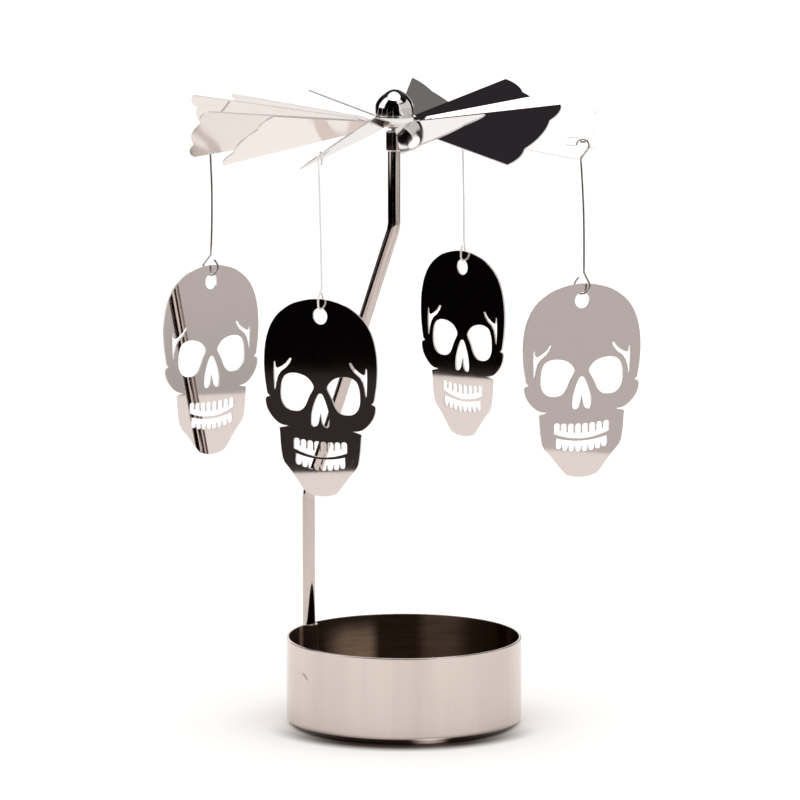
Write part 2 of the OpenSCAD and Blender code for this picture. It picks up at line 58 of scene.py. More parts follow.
cupRadius, cupRim = cupTop.x, cupTop.z


# camera, at the photograph's angle

cameraLook = {
    "place": (0, -1.4, 0.298),
    "tiltDown": 8.8,  # degrees
    "lens": 251.28,
    "sensor": 36,
    "shift": (-0.005, 0.00875),
    "clip": (0.05, 60),
}


def makeCamera(look):
    data = bpy.data.cameras.new("camera")
    data.sensor_width = look["sensor"]
    data.lens = look["lens"]
    data.shift_x, data.shift_y = look["shift"]
    data.clip_start, data.clip_end = look["clip"]
    camera = bpy.data.objects.new("camera", data)
    camera.location = look["place"]
    camera.rotation_euler = (math.radians(90 - look["tiltDown"]), 0, 0)
    scene.collection.objects.link(camera)
    scene.camera = camera


makeCamera(cameraLook)


# shader maths as expressions

class Value:
    def __init__(self, tree, socket):
        self.tree, self.socket = tree, socket

    def math(self, operation, *others):
        return self.tree.node("ShaderNodeMath", {"operation": operation}, [self, *others])

    def __add__(self, other):
        return self.math("ADD", other)

    def __sub__(self, other):
        return self.math("SUBTRACT", other)

    def __rsub__(self, other):
        return self.tree.node("ShaderNodeMath", {"operation": "SUBTRACT"}, [other, self])

    def __mul__(self, other):
        return self.math("MULTIPLY", other)

    def __truediv__(self, other):
        return self.math("DIVIDE", other)

    __radd__ = __add__
    __rmul__ = __mul__


class Tree:
    def __init__(self, nodeTree):
        self.nodeTree = nodeTree
        nodeTree.nodes.clear()

    def node(self, kind, settings=None, values=None, output=0):
        made = self.nodeTree.nodes.new(kind)
        for name, setting in (settings or {}).items():
            setattr(made, name, setting)
        pairs = values.items() if isinstance(values, dict) else enumerate(values or [])
        for key, value in pairs:
            if isinstance(value, Value):
                self.nodeTree.links.new(value.socket, made.inputs[key])
            else:
                made.inputs[key].default_value = value
        return Value(self, made.outputs[output]) if made.outputs else None

    def smooth(self, value, low, high):
        return self.node("ShaderNodeMapRange", {"interpolation_type": "SMOOTHSTEP"},
                         {"Value": value, "From Min": low, "From Max": high})

    def mixColour(self, factor, first, second):
        return self.node("ShaderNodeMix", {"data_type": "RGBA"}, {0: factor, 6: first, 7: second}, 2)

    def parts(self, vector):
        outputs = self.node("ShaderNodeSeparateXYZ", {}, {0: vector}).socket.node.outputs
        return [Value(self, output) for output in outputs]

    def noise(self, place, scale, detail, rough):
        return self.node("ShaderNodeTexNoise", {"noise_dimensions": "3D"},
                         {"Vector": place, "Scale": scale, "Detail": detail, "Roughness": rough}, "Fac")


def lengthOf(first, second):
    return (first * first + second * second).math("SQRT")


def degreesOf(x, y):
    # the direction of (x, y), counted from x towards y
    return y.math("ARCTAN2", x) * (180 / math.pi)


def rgba(colour, level=1):
    return (*(channel * level for channel in colour), 1)


# the finishes: tints and roughness in linear values, sizes in metres

finishLook = {
    "cupOutside": {"tint": (0.695, 0.607, 0.56), "dark": 0.86, "rough": (0.06, 0.12), "wave": 6e-6,
                   "grain": 3e-7, "waveLength": 0.016, "lines": "bands", "smudge": 0.013,
                   "share": (0.1, 0.87, 0.03), "marked": True},
    "cupInside": {"tint": (0.85, 0.59, 0.42), "dark": 0.6, "rough": (0.10, 0.22), "wave": 8e-6,
                  "grain": 1.2e-6, "waveLength": 0.012, "lines": "brushed", "smudge": 0.006,
                  "share": (0.25, 0.65, 0.1), "metal": 0.5, "paintedInsideLight": True},
    "postSteel": {"tint": (0.59, 0.515, 0.48), "dark": 0.88, "rough": (0.035, 0.10), "wave": 1.5e-6,
                  "grain": 3e-7, "waveLength": 0.010, "lines": "upright", "smudge": 0.008},
    "sleeveSteel": {"tint": (0.66, 0.57, 0.54), "dark": 0.86, "rough": (0.07, 0.16), "wave": 1e-6,
                    "grain": 4e-7, "waveLength": 0.004, "lines": "round", "smudge": 0.004},
    "needleSteel": {"tint": (0.56, 0.54, 0.53), "dark": 0.8, "rough": (0.18, 0.32), "wave": 5e-7,
                    "grain": 5e-7, "waveLength": 0.003, "lines": "round", "smudge": 0.003},
    # the washer's glow is painted light: it gives off its tint so that it shows white, though it is no lamp
    "washerSteel": {"tint": (0.95, 0.935, 0.925), "dark": 0.95, "rough": (0.3, 0.42), "wave": 6e-7,
                    "grain": 6e-7, "waveLength": 0.003, "lines": "round", "smudge": 0.003,
                    "metal": 0.05, "paintedGlow": 0.3},
    "capChrome": {"tint": (0.84, 0.81, 0.80), "dark": 0.97, "rough": (0.012, 0.04), "wave": 5e-7,
                  "grain": 5e-8, "waveLength": 0.004, "lines": "round", "smudge": 0.004},
    "bladeMirror": {"tint": (0.80, 0.745, 0.715), "dark": 0.96, "rough": (0.045, 0.09), "wave": 4e-6,
                    "grain": 1e-7, "waveLength": 0.020, "lines": "across", "smudge": 0.014},
    "skullMirror": {"tint": (0.80, 0.715, 0.685), "dark": 0.97, "rough": (0.018, 0.032), "wave": 1.6e-6,
                    "grain": 5e-8, "waveLength": 0.024, "lines": "across", "smudge": 0.012},
    "cutEdge": {"tint": (0.80, 0.76, 0.74), "dark": 0.85, "rough": (0.3, 0.45), "wave": 3e-7,
                "grain": 6e-7, "waveLength": 0.002, "lines": "across", "smudge": 0.003, "metal": 0.45},
    "hangerWire": {"tint": (0.60, 0.57, 0.55), "dark": 0.8, "rough": (0.10, 0.20), "wave": 8e-7,
                   "grain": 5e-7, "waveLength": 0.004, "lines": "upright", "smudge": 0.003},
    # a lit copy of the wire's finish for the front and back wires, paler and matter: painted light
    "hangerWirePaintedLight": {"tint": (0.88, 0.87, 0.86), "dark": 0.9, "rough": (0.35, 0.5), "wave": 8e-7,
                       "grain": 5e-7, "waveLength": 0.004, "lines": "upright", "smudge": 0.003,
                       "metal": 0.2},
}
lineStretch = {
    "round": (1, 1, 26),
    "upright": (26, 26, 1),
    "across": (9, 9, 1),
    "bands": (0.25, 0.25, 0.012),
    "brushed": (0.5, 0.5, 6),
}
# what all finishes share: each noise's scale, detail and roughness, and the values between which it shows
grainLook = {
    "lines": (240, 4, 0.6),
    "lineSpan": (0.3, 0.7),
    "smudges": (4, 0.55),
    "smudgeSpan": (0.38, 0.72),
    "specks": (1500, 2, 0.5),
    "speckSpan": (0.66, 0.8),
    "waves": (1, 0.4),
    # the shares of smudges, lines and specks in the darker tint and in the roughness
    "share": (0.45, 0.35, 0.2),
    "roughShare": (0.6, 0.4, 0.05),
}
# the pressed, brushed inside of the cup gets painted reflections and shade: its level, from the patina up to
# the metal's tint, is painted round the wall by angle. Angles round the wall are in degrees from +X
insideLook = {
    # from and to which angle the painted brightness changes, and by how much; the narrow rise and fall
    # at 152 to 158 is a painted highlight beside the post's channel
    "changes": [(34, 52, 0.06), (52, 67, 0.3), (76, 85, -0.28), (152, 154, 0.6), (155.5, 158, -0.6)],
    # a painted lighter patch low on the wall: a painted sheen
    "patchStart": (102, 109),
    "patchEnd": (118, 138),
    "patchRise": (15.5 * mm, 22 * mm),
    "patchLevel": 0.94,
    # the floor has one painted level all round
    "floorRise": (2.2 * mm, 5 * mm),
    "floorLevel": 0.35,
    "patina": (0.015, 0.004, 0.001),
}
# the round pressed mark in the cup's wall: a shallow dent, of which the sharper upper right edge shows
# as a fine groove with a stroke of painted shade along it
markLook = {
    "angle": -149,  # degrees from +X
    "height": 12.9 * mm,
    "width": 8 * mm,
    "depth": 0.12 * mm,
    "strokeRadius": 2.5 * mm,
    "strokeWidth": 0.6 * mm,
    "strokeRise": (0.9 * mm, 1.5 * mm),
    "strokeAcross": (-0.6 * mm, 0.8 * mm),
    "strokeDepth": 0.06 * mm,
    "strokeShadeShare": 0.75,
    "dark": (0.16, 0.12, 0.10),
}


def paintedInsideLevel(tree, place, look):
    x, y, z = tree.parts(place)
    angle = degreesOf(x, y)
    level = 0
    for start, end, change in look["changes"]:
        level = level + tree.smooth(angle, start, end) * change
    patch = tree.smooth(angle, *look["patchStart"]) * (1 - tree.smooth(angle, *look["patchEnd"]))
    level = level + patch * (1 - tree.smooth(z, *look["patchRise"])) * look["patchLevel"]
    return level + (1 - tree.smooth(z, *look["floorRise"])) * (look["floorLevel"] - level)


def markStroke(tree, place, look):
    x, y, z = tree.parts(place)
    across = (y.math("ARCTAN2", x) - math.radians(look["angle"])) * cupRadius
    rise = z - look["height"]
    away = lengthOf(across, rise) - look["strokeRadius"]
    stroke = 1 - tree.smooth(away.math("ABSOLUTE"), 0, look["strokeWidth"])
    return stroke * tree.smooth(rise, *look["strokeRise"]) * tree.smooth(across, *look["strokeAcross"])


def newMaterial(name):
    material = bpy.data.materials.new(name)
    material.use_nodes = True
    return material, Tree(material.node_tree)


def makeFinish(name, look, grain):
    material, tree = newMaterial(name)
    place = tree.node("ShaderNodeTexCoord", output="Object")
    # drawn or rolled lines: a noise that is squeezed across them
    squeezed = tree.node("ShaderNodeMapping", {"vector_type": "POINT"},
                         {"Vector": place, "Scale": lineStretch[look["lines"]]})
    lines = tree.noise(squeezed, *grain["lines"])
    smudges = tree.smooth(tree.noise(place, 1 / look["smudge"], *grain["smudges"]), *grain["smudgeSpan"])
    specks = tree.smooth(tree.noise(place, *grain["specks"]), *grain["speckSpan"])
    low, high = look["rough"]
    smudgeShare, lineShare, speckShare = grain["roughShare"]
    rough = low + (high - low) * (smudges * smudgeShare + lines * lineShare) + specks * speckShare
    smudgeShare, lineShare, speckShare = look.get("share", grain["share"])
    shade = smudges * smudgeShare + tree.smooth(lines, *grain["lineSpan"]) * lineShare + specks * speckShare
    colour = tree.mixColour(shade, rgba(look["tint"]), rgba(look["tint"], look["dark"]))
    # painted reflections and shade inside the cup: the colour goes from the patina to the tint by the painted
    # level
    if "paintedInsideLight" in look:
        colour = tree.mixColour(paintedInsideLevel(tree, place, insideLook), rgba(insideLook["patina"]), colour)
    # slow waves in the sheet, and the fine lines on them
    waves = tree.noise(place, 1 / look["waveLength"], *grain["waves"])
    height = waves * (look["wave"] / mm) + lines * (look["grain"] / mm)
    # the mark's edge: a fine groove in the bump, and painted shade that darkens the colour along it
    if "marked" in look:
        stroke = markStroke(tree, place, markLook)
        height = height - stroke * (markLook["strokeDepth"] / mm)
        colour = tree.mixColour(stroke * markLook["strokeShadeShare"], colour, rgba(markLook["dark"]))
    bump = tree.node("ShaderNodeBump", {}, {"Strength": 1, "Distance": mm, "Height": height})
    # a finish with a glow gives off its tint as painted light, as no part is a lamp
    shader = tree.node("ShaderNodeBsdfPrincipled", {}, {
        "Base Color": colour, "Metallic": look.get("metal", 1), "Roughness": rough, "Normal": bump,
        "Emission Color": rgba(look["tint"]), "Emission Strength": look.get("paintedGlow", 0)})
    tree.node("ShaderNodeOutputMaterial", {}, {"Surface": shader})
    return material


finishes = {name: makeFinish(name, look, grainLook) for name, look in finishLook.items()}
print("finishes:", len(finishes))


# mesh helpers

weldDistance = 1e-7


def spread(first, last, steps):
    # evenly spaced values, both ends included
    return [first + (last - first) * k / steps for k in range(steps + 1)]


def fullTurn(count):
    return spread(0, math.tau, count)[:-1]


def polar(radius, angle):
    return Vector((radius * math.cos(angle), radius * math.sin(angle)))


def meshOf(bm, name):
    mesh = bpy.data.meshes.new(name)
    bm.to_mesh(mesh)
    bm.free()
    return mesh


def addPiece(name, bm, materials, sharpAngle=40):
    bmesh.ops.recalc_face_normals(bm, faces=bm.faces)
    return addMesh(name, meshOf(bm, name), materials, sharpAngle)


def addMesh(name, mesh, materials, sharpAngle=40):
    # an angle of 0 leaves every face flat, as a mirror needs
    places = [0] * len(mesh.polygons)
    mesh.polygons.foreach_get("material_index", places)
    mesh.materials.clear()
    for material in materials:
        mesh.materials.append(material)
    mesh.polygons.foreach_set("material_index", places)
    if sharpAngle:
        mesh.shade_smooth()
        mesh.set_sharp_from_angle(angle=math.radians(sharpAngle))
    else:
        mesh.shade_flat()
    piece = bpy.data.objects.new(name, mesh)
    scene.collection.objects.link(piece)
    return piece


def flattened(piece):
    # the piece as its modifiers leave it, as a plain mesh without them
    depsgraph = bpy.context.evaluated_depsgraph_get()
    mesh = bpy.data.meshes.new_from_object(piece.evaluated_get(depsgraph))
    piece.modifiers.clear()
    return mesh


sheetLook = {"edgeSteps": 2, "edgeAngle": 55}  # the angle in degrees from which an edge is rounded


def thickened(name, mesh, thickness, offset, edge, finish, sharpAngle):
    # a flat or twisted sheet with its thickness, its cut edges a little rounded and matt
    mesh.polygons.foreach_set("material_index", [0] * len(mesh.polygons))
    host = addMesh(name + "Host", mesh, [finish, finishes["cutEdge"]])
    thick = host.modifiers.new("sheet", "SOLIDIFY")
    thick.thickness, thick.offset, thick.use_even_offset = thickness, offset, True
    thick.material_offset_rim = 1
    soft = host.modifiers.new("edge", "BEVEL")
    soft.width, soft.segments = edge, sheetLook["edgeSteps"]
    soft.limit_method, soft.angle_limit = "ANGLE", math.radians(sheetLook["edgeAngle"])
    solid = flattened(host)
    bpy.data.objects.remove(host)
    return addMesh(name, solid, [finish, finishes["cutEdge"]], sharpAngle)


def finishPiece(piece, body, node):
    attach(piece, body)
    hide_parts(node)


def roundedProfile(points, radius):
    # the corners of a half section, each turned into a short arc; a short side keeps its middle tenth
    cornerSteps, mostOfSide = 4, 0.45
    rounded = [points[0]]
    for before, corner, after in zip(points, points[1:], points[2:]):
        here = Vector(corner)
        back, ahead = Vector(before) - here, Vector(after) - here
        reach = min(radius, back.length * mostOfSide, ahead.length * mostOfSide)
        start, end = here + back.normalized() * reach, here + ahead.normalized() * reach
        for t in spread(0, 1, cornerSteps):
            rounded.append(tuple((1 - t) ** 2 * start + 2 * t * (1 - t) * here + t * t * end))
    rounded.append(points[-1])
    return rounded


def spin(bm, profile, centre, segments):
    # turns a half section of (radius, height) points round an upright line; radius 0 is a pole
    middle = Vector((centre[0], centre[1]))
    rows = []
    for radius, height in profile:
        angles = fullTurn(segments) if radius > weldDistance else [0]
        rows.append([bm.verts.new((*(middle + polar(radius, angle)), height)) for angle in angles])
    for low, high in zip(rows, rows[1:]):
        bridgeRows(bm, low, high)


def bridgeRows(bm, low, high, slot=0):
    count = max(len(low), len(high))
    for k in range(count):
        ring = [low[k % len(low)], low[(k + 1) % len(low)], high[(k + 1) % len(high)], high[k % len(high)]]
        corners = [vert for i, vert in enumerate(ring) if vert not in ring[:i]]
        if len(corners) > 2:
            bm.faces.new(corners).material_index = slot


# Geometry Nodes: a tree of named inputs, and what a modifier knows them by

def newGroup(name, inputs, output):
    group = bpy.data.node_groups.new(name, "GeometryNodeTree")
    known = {}
    for label, kind in inputs.items():
        socket = group.interface.new_socket(label, in_out="INPUT", socket_type="NodeSocket" + kind)
        known[label] = socket.identifier
    group.interface.new_socket(output, in_out="OUTPUT", socket_type="NodeSocketGeometry")
    start, end = group.nodes.new("NodeGroupInput"), group.nodes.new("NodeGroupOutput")
    return group, known, start.outputs, end.inputs


def runGroup(host, group, known, values):
    # the mesh that the tree makes on the host, which is then removed
    modifier = host.modifiers.new(group.name, "NODES")
    modifier.node_group = group
    for label, value in values.items():
        modifier[known[label]] = value
    mesh = flattened(host)
    bpy.data.objects.remove(host)
    return mesh


# one tree turns a drawn path into round rod or wire

def makeRodTree():
    group, known, given, result = newGroup(
        "drawnRod", {"Path": "Geometry", "Radius": "Float", "Sides": "Int", "Finish": "Material"}, "Rod")
    nodes, link = group.nodes, group.links.new
    toCurve = nodes.new("GeometryNodeMeshToCurve")
    circle = nodes.new("GeometryNodeCurvePrimitiveCircle")
    sweep = nodes.new("GeometryNodeCurveToMesh")
    sweep.inputs["Fill Caps"].default_value = True
    realize = nodes.new("GeometryNodeRealizeInstances")
    setMaterial = nodes.new("GeometryNodeSetMaterial")
    link(given["Path"], toCurve.inputs["Mesh"])
    link(given["Radius"], circle.inputs["Radius"])
    link(given["Sides"], circle.inputs["Resolution"])
    link(toCurve.outputs["Curve"], sweep.inputs["Curve"])
    link(circle.outputs["Curve"], sweep.inputs["Profile Curve"])
    link(sweep.outputs["Mesh"], realize.inputs["Geometry"])
    link(realize.outputs["Geometry"], setMaterial.inputs["Geometry"])
    link(given["Finish"], setMaterial.inputs["Material"])
    link(setMaterial.outputs["Geometry"], result["Rod"])
    return group, known


rodTree = makeRodTree()


# the rims of a rod's flat ends: the sharpness in radians from which an edge is one, and how they are rounded
rimLook = {"sharp": 1, "share": 0.25, "steps": 3}


def sweepRod(name, path, radius, around, finish):
    mesh = bpy.data.meshes.new(name + "Path")
    mesh.from_pydata([tuple(point) for point in path], [(i, i + 1) for i in range(len(path) - 1)], [])
    host = bpy.data.objects.new(name + "Path", mesh)
    scene.collection.objects.link(host)
    swept = runGroup(host, *rodTree, {"Radius": radius, "Sides": around, "Finish": finish})
    bm = bmesh.new()
    bm.from_mesh(swept)
    rims = [edge for edge in bm.edges
            if len(edge.link_faces) == 2 and edge.calc_face_angle(0) > rimLook["sharp"]]
    bmesh.ops.bevel(bm, geom=rims, offset=radius * rimLook["share"], segments=rimLook["steps"],
                    affect="EDGES", profile=0.5)
    return addPiece(name, bm, [finish])


def arcPoints(centre, across, ahead, radius, fromAngle, toAngle, steps):
    # points of an arc in the plane of across and ahead, whose degrees are counted from across towards ahead
    turns = [polar(radius, math.radians(angle)) for angle in spread(fromAngle, toAngle, steps)]
    return [centre + across * turn.x + ahead * turn.y for turn in turns]


# cup: pressed sheet, with the post's channel in the back left of its wall

postLook = {
    "radius": 1.625 * mm,
    "inset": 0.7 * mm,  # from the cup's outside to the middle of the post's foot
    "angle": 146.8,  # degrees from +X
    "bendLow": 56.3 * mm,
    "bendHigh": 127.1 * mm,
    "bendRadius": 8 * mm,
    "bendSteps": 14,
    "sides": 48,
}
cupLook = {
    "wall": 0.7 * mm,
    "cornerIn": 0.4 * mm,
    "cornerOut": 0.35 * mm,
    "footInset": 0.3 * mm,
    "grooveWidth": 1 * mm,
    "floorStart": 0.6 * mm,  # the floor is level from here on, counted from the groove
    "footHeight": 1.2 * mm,
    "footSlant": 0.022 * mm,
    "stepHeight": 0.8 * mm,
    "filletIn": 1.1 * mm,
    "channel": 1.675 * mm,
    "bulgeClear": 0.1 * mm,  # the floor's rows stay this far inside the channel's bulge
    "edge": 0.22 * mm,  # rounding of the rim and of the foot bead's underside
    "smallEdge": 0.088 * mm,  # rounding where the bead and its groove meet the floor
    "rimInside": 3,  # how many of the rim's rows have the inside's finish
    "columns": 300,
    "rowGap": 0.45 * mm,
    "insideRows": 20,
    "filletSteps": 8,
    "channelSteps": 14,
    "cornerOutSteps": 6,
    "rimSteps": 5,
    "cornerInSteps": 4,
    "sharpAngle": 50,
}


def quarterTurn(steps):
    # round a quarter of an edge, in shares of its radius: what is done one way, what is left the other way
    return [(1 - math.cos(angle), 1 - math.sin(angle)) for angle in spread(0, math.pi / 2, steps)]


def channelPlan(look, post, inset):
    # the channel seen from above, the post on +X: from the wall round the post and back to the wall
    fillet = look["wall"] + look["filletIn"]
    postReach, filletReach = cupRadius - post["inset"], cupRadius - fillet
    bend = math.acos((postReach ** 2 + filletReach ** 2 - (look["channel"] + fillet) ** 2)
                     / (2 * postReach * filletReach))
    filletCentre, postCentre = polar(filletReach, bend), Vector((postReach, 0))
    towards = math.atan2(*(postCentre - filletCentre).yx)
    half = [filletCentre + polar(fillet - inset, angle)
            for angle in spread(bend, towards, look["filletSteps"])[:-1]]
    half += [postCentre + polar(look["channel"] + inset, angle)
             for angle in spread(towards + math.pi, math.pi, look["channelSteps"])]
    return half + [Vector((point.x, -point.y)) for point in half[-2::-1]], bend


def cupRing(look, post, inset, height, channelled=True):
    # a closed row of points round the wall, inset from the cup's outside
    channel, bend = channelPlan(look, post, inset)
    radius = cupRadius - inset
    points = [polar(radius, angle) for angle in spread(bend, math.tau - bend, look["columns"])[:-1]]
    if channelled:
        points += channel[:0:-1]
    else:
        points += [polar(radius, angle) for angle in spread(-bend, bend, len(channel) - 1)[:-1]]
    turn = Matrix.Rotation(math.radians(post["angle"]), 3, "Z")
    return [turn @ Vector((*point, height)) for point in points]


def dented(points, look):
    # presses the round mark into a row of points
    for point in points:
        aside = (math.atan2(point.y, point.x) - math.radians(look["angle"])) * cupRadius
        away = math.hypot(aside, point.z - look["height"]) / (look["width"] / 2)
        if away < 1:
            point.xy *= 1 - look["depth"] * (1 - away ** 2) ** 1.5 / cupRadius
    return points


def makeCup(look, post):
    wall, edge, smallEdge = look["wall"], look["edge"], look["smallEdge"]
    cornerIn, cornerOut, foot = look["cornerIn"], look["cornerOut"], look["footHeight"]
    floor = foot + wall
    step = floor + look["stepHeight"]
    rimStart = cupRim - edge
    # the foot bead's two sides, as insets from the wall's outside, and the groove over it, as radii
    beadOut = wall + cornerIn + look["footInset"]
    beadIn = beadOut + look["grooveWidth"] + 2 * wall
    grooveIn = cupRadius - beadIn + wall
    grooveOut = grooveIn + look["grooveWidth"]

    # rows of (inset, height), from the underside up the outside, over the rim and down the inside
    under = [(beadIn, foot), (beadIn - look["footSlant"], edge), (beadIn - edge, 0), (beadOut + edge, 0),
             (beadOut, edge), (beadOut, foot - smallEdge), (beadOut - smallEdge, foot)]
    under += [(cornerOut * left, foot + cornerOut * done)
              for done, left in quarterTurn(look["cornerOutSteps"])]
    under.append((0, step))
    outside = [(0, height) for height in spread(step, rimStart, round((rimStart - step) / look["rowGap"]))]
    rim = [(edge * done, cupRim - edge * left) for done, left in quarterTurn(look["rimSteps"])[1:]]
    rim += [(wall - inset, height) for inset, height in rim[::-1]]
    inside = [(wall, height) for height in spread(rimStart, floor + cornerIn, look["insideRows"])]
    inside += [(wall + cornerIn * done, floor + cornerIn * left)
               for done, left in quarterTurn(look["cornerInSteps"])[1:]]
    rings = [cupRing(look, post, *row, channelled=False) for row in under]
    rings += [dented(cupRing(look, post, *row), markLook) for row in outside]
    rings += [cupRing(look, post, *row) for row in rim + inside]

    # the floor with its groove over the foot bead; the channel's bulge interrupts it
    innermost = [point.to_2d() for point in rings[-1]]
    for radius, height in [(grooveOut, floor), (grooveOut, wall + edge), (grooveOut - edge, wall),
                           (grooveIn + edge, wall), (grooveIn, wall + edge), (grooveIn, floor - smallEdge),
                           (grooveIn - smallEdge, floor), (grooveIn - look["floorStart"], floor)]:
        ring = []
        for point in innermost:
            free = point.length - look["bulgeClear"]
            ring.append((*(point.normalized() * min(free, radius)), height if free > grooveOut else floor))
        rings.append(ring)

    bm = bmesh.new()
    loops = [[bm.verts.new(point) for point in ring] for ring in rings]
    insideFrom = len(under) + len(outside) + len(rim) - look["rimInside"]
    for row, (low, high) in enumerate(zip(loops, loops[1:])):
        bridgeRows(bm, low, high, int(row >= insideFrom))
    bridgeRows(bm, loops[0], [bm.verts.new((0, 0, foot))])
    bridgeRows(bm, loops[-1], [bm.verts.new((0, 0, floor))], 1)
    bmesh.ops.remove_doubles(bm, verts=bm.verts, dist=weldDistance)
    return addPiece("cup", bm, [finishes["cupOutside"], finishes["cupInside"]], look["sharpAngle"])


cupPiece = makeCup(cupLook, postLook)
finishPiece(cupPiece, "stand", "base_cup")
print("cup:", len(cupPiece.data.polygons))


# post: round rod, bent twice, with the sleeve and the needle on its top end

def makePost(look):
    low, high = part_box("post_rod")
    outward = polar(1, math.radians(look["angle"])).to_3d()
    radius = cupRadius - look["inset"]
    shift = rotorAxis.length
    lean = math.atan2(radius - shift, look["bendHigh"] - look["bendLow"])
    reach = look["bendRadius"] * math.tan(lean / 2)
    leanDegrees = math.degrees(lean)
    lowCentre = outward * (radius - look["bendRadius"]) + up * (look["bendLow"] - reach)
    highCentre = outward * (shift + look["bendRadius"]) + up * (look["bendHigh"] + reach)
    path = [outward * radius + up * low.z, outward * radius + up * (look["bendLow"] - reach) / 2]
    for centre, fromAngle, toAngle in ((lowCentre, 0, leanDegrees), (highCentre, 180 + leanDegrees, 180)):
        path += arcPoints(centre, outward, up, look["bendRadius"], fromAngle, toAngle, look["bendSteps"])
    path.append(outward * shift + up * high.z)
    return sweepRod("post", path, look["radius"], look["sides"], finishes["postSteel"])


postPiece = makePost(postLook)
finishPiece(postPiece, "stand", "post_rod")

sleeveLook = {"slope": 0.36 * mm, "bore": 1.645 * mm, "needleBore": 0.72 * mm, "edge": 0.07 * mm,
              "around": 72}


def makeSleeve(look):
    low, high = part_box("post_sleeve")
    radius = (high.x - low.x) / 2
    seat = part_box("pivot_needle")[0].z
    slope, edge = look["slope"], look["edge"]
    profile = [(look["needleBore"], seat), (look["bore"], seat), (look["bore"], low.z + edge),
               (radius - slope, low.z), (radius, low.z + slope), (radius, high.z - slope),
               (radius - slope, high.z), (look["needleBore"], high.z), (look["needleBore"], seat)]
    bm = bmesh.new()
    spin(bm, roundedProfile(profile, edge), rotorAxis, look["around"])
    bmesh.ops.remove_doubles(bm, verts=bm.verts, dist=weldDistance)
    return addPiece("postSleeve", bm, [finishes["sleeveSteel"]])


sleevePiece = makeSleeve(sleeveLook)
finishPiece(sleevePiece, "stand", "post_sleeve")

needleLook = {"radius": 0.7 * mm, "point": 2.2 * mm, "flat": 0.1 * mm, "edge": 0.06 * mm, "around": 40}


def makeNeedle(look):
    low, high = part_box("pivot_needle")
    profile = [(0, low.z), (look["radius"], low.z), (look["radius"], high.z - look["point"]),
               (look["flat"], high.z), (0, high.z)]
    bm = bmesh.new()
    spin(bm, roundedProfile(profile, look["edge"]), rotorAxis, look["around"])
    return addPiece("needle", bm, [finishes["needleSteel"]])


needlePiece = makeNeedle(needleLook)
finishPiece(needlePiece, "stand", "pivot_needle")
print("post, sleeve and needle made")


# cap and washer on the rotor's middle

capLook = {
    "fullness": 1.7,  # 2 is a ball, 1 is a cone
    "skirt": 2.5 * mm,
    "dome": 4.6 * mm,
    "spigot": 2.5 * mm,
    "bore": 1.5 * mm,
    "rivet": 3.2 * mm,
    "rivetHeight": 1 * mm,
    "rivetEnd": 1.9 * mm,
    "seatHeight": 1.16 * mm,
    "seatFlat": 0.25 * mm,
    "crown": 2.04 * mm,
    # a fine groove over the lower edge: where it begins and ends, and its depth
    "lip": 0.4 * mm,
    "lipTop": 0.64 * mm,
    "groove": 0.15 * mm,
    "edge": 0.12 * mm,
    "domeSteps": 32,
    "around": 128,
    "sharpAngle": 35,
}


def makeCap(look):
    low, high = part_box("dome_cap")
    radius = (high.x - low.x) / 2
    under = high.z - look["dome"] - look["skirt"]
    shoulder = high.z - look["dome"]
    seat = high.z - look["crown"]
    dome = []
    for angle in spread(0, math.pi / 2, look["domeSteps"]):
        rise = math.sin(angle)
        dome.append((radius * (1 - rise ** look["fullness"]) ** (1 / look["fullness"]),
                     shoulder + look["dome"] * rise))
    dome[-1] = (0, high.z)
    grooved = radius - look["groove"]
    rivetTop = low.z + look["rivetHeight"]
    lower = [(0, seat), (look["seatFlat"], seat), (look["bore"], seat - look["seatHeight"]),
             (look["bore"], low.z), (look["rivetEnd"], low.z), (look["rivet"], rivetTop),
             (look["spigot"], rivetTop), (look["spigot"], under), (radius, under),
             (radius, under + look["lip"]), (grooved, under + look["lip"]),
             (grooved, under + look["lipTop"]), (radius, under + look["lipTop"]), dome[0]]
    profile = roundedProfile(lower, look["edge"]) + dome[1:]
    bm = bmesh.new()
    spin(bm, profile, rotorAxis, look["around"])
    return addPiece("domeCap", bm, [finishes["capChrome"]], look["sharpAngle"])


capPiece = makeCap(capLook)
finishPiece(capPiece, "rotor", "dome_cap")

washerLook = {"stepWidth": 0.6 * mm, "stepHeight": 0.25 * mm, "bore": 2.52 * mm, "edge": 0.1 * mm,
              "taper": 0.02 * mm, "around": 96}


def makeWasher(look):
    low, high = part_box("hub_washer")
    radius = (high.x - low.x) / 2
    stepRadius, stepTop = radius - look["stepWidth"], high.z - look["stepHeight"]
    profile = [(look["bore"], high.z), (look["bore"], low.z), (radius - look["taper"], low.z),
               (radius, stepTop), (stepRadius, stepTop), (stepRadius, high.z), (look["bore"], high.z)]
    bm = bmesh.new()
    spin(bm, roundedProfile(profile, look["edge"]), rotorAxis, look["around"])
    bmesh.ops.remove_doubles(bm, verts=bm.verts, dist=weldDistance)
    return addPiece("hubWasher", bm, [finishes["washerSteel"]])


washerPiece = makeWasher(washerLook)
finishPiece(washerPiece, "rotor", "hub_washer")
print("cap and washer made")


# rotor: one sheet, cut into blades that all twist the same way

